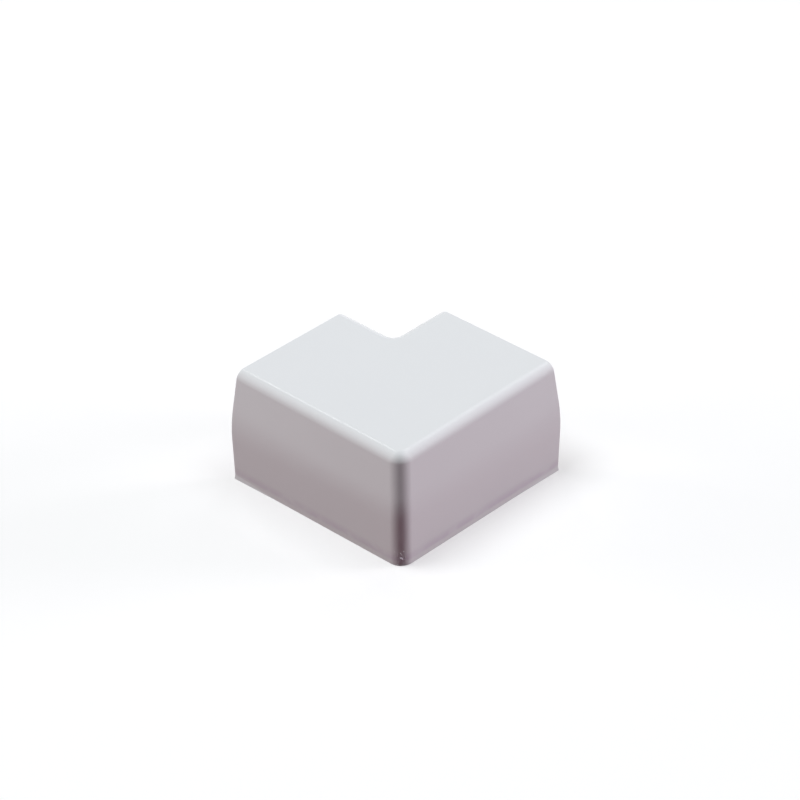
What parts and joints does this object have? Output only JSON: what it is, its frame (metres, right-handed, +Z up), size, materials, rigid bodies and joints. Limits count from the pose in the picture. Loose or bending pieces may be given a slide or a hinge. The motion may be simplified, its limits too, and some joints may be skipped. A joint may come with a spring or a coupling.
{
  "type": "flat duct bend",
  "caption": "Moulded L-shaped flat bend, open underneath, that clips over two rectangular duct lengths and turns them through a right angle.",
  "frame": {"origin": "centre of the bounding box in plan, at the rim that lies on the floor", "axes": "+X out of one mouth, +Y out of the other, +Z up through the flat top"},
  "size_m": [0.1255, 0.1255, 0.067],
  "materials": {
    "white_plastic": "satin-gloss moulded white plastic"
  },
  "bodies": {
    "root": {"flat_bend": "white_plastic"}
  },
  "joints": []
}
